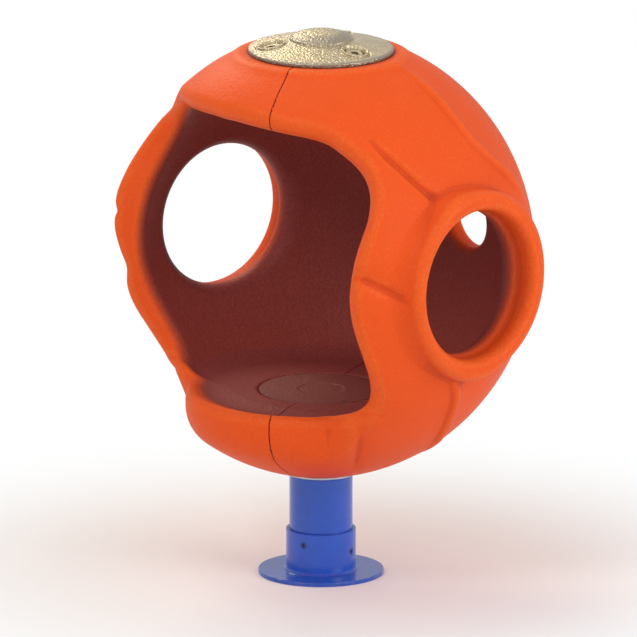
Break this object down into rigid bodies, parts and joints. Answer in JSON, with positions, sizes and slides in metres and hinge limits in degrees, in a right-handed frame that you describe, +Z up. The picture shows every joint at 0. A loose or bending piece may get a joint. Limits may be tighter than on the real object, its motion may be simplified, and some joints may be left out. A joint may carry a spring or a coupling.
{
  "type": "playground spinning ball seat",
  "caption": "Hollow moulded ball seat with a front doorway and round windows, turning freely on a bearing hub at the top of a short bolted-down post.",
  "frame": {"origin": "on the ground, centre of the base plate's underside, on the post's axis", "axes": "+Z up along the post and the spin axis, doorway faces -Y, so the seated child's right is towards -X"},
  "size_m": [1.0894, 0.8406, 1.3491],
  "materials": {
    "post_blue": "gloss powder coat",
    "bolt_dark": "satin",
    "shell_orange": "fine orange-peel moulded texture, semi-matt",
    "seat_orange": "fine grain, semi-matt",
    "cap_grey": "pebbled, semi-gloss",
    "zinc_plate": "zinc plated, satin",
    "bearing_steel": "ground",
    "stainless": "stainless, satin",
    "cage_brass": "satin",
    "seal_rubber": "matt"
  },
  "bodies": {
    "stand": {"base_plate": "post_blue", "base_socket": "post_blue", "socket_weld": "post_blue", "post": "post_blue", "cross_bolts": "bolt_dark", "cross_bolt_nuts": "bolt_dark", "post_top_plate": "post_blue", "spindle": "bearing_steel", "spindle_weld": "bearing_steel", "bearing_spacer": "bearing_steel", "spindle_washer": "zinc_plate", "spindle_nut": "zinc_plate", "split_pin": "zinc_plate", "lower_bearing_inner_ring": "bearing_steel", "upper_bearing_inner_ring": "bearing_steel"},
    "pod": {"shell_right": "shell_orange", "shell_left": "shell_orange", "seam_bolts": "stainless", "seam_washers": "stainless", "seam_nuts": "stainless", "hub_flange": "zinc_plate", "hub_housing": "zinc_plate", "hub_weld": "zinc_plate", "hub_seal": "seal_rubber", "grease_cap": "zinc_plate", "hub_bolts": "zinc_plate", "hub_washers": "zinc_plate", "seat_clamp_plate": "zinc_plate", "seat_cover": "seat_orange", "seat_cover_screws": "stainless", "top_cap": "cap_grey", "cap_bolts": "stainless", "cap_washers": "stainless", "cap_backing_ring": "zinc_plate", "cap_nuts": "zinc_plate", "lower_bearing_outer_ring": "bearing_steel", "upper_bearing_outer_ring": "bearing_steel", "lower_bearing_shields": "seal_rubber", "upper_bearing_shields": "seal_rubber"},
    "lower_ball_set": {"lower_bearing_cage": "cage_brass", "lower_bearing_balls": "bearing_steel"},
    "upper_ball_set": {"upper_bearing_cage": "cage_brass", "upper_bearing_balls": "bearing_steel"}
  },
  "joints": [
    {"name": "pod_spin", "type": "hinge", "parent": "stand", "child": "pod", "pos_m": [0, 0, 0.33], "axis": [0, 0, 1], "continuous": true},
    {"name": "lower_balls_roll", "type": "hinge", "parent": "stand", "child": "lower_ball_set", "pos_m": [0, 0, 0.278], "axis": [0, 0, 1], "continuous": true},
    {"name": "upper_balls_roll", "type": "hinge", "parent": "stand", "child": "upper_ball_set", "pos_m": [0, 0, 0.382], "axis": [0, 0, 1], "continuous": true}
  ],
  "couplings": [
    {"joint": "lower_balls_roll", "follows": "pod_spin", "ratio": 0.59071},
    {"joint": "upper_balls_roll", "follows": "pod_spin", "ratio": 0.59071}
  ]
}
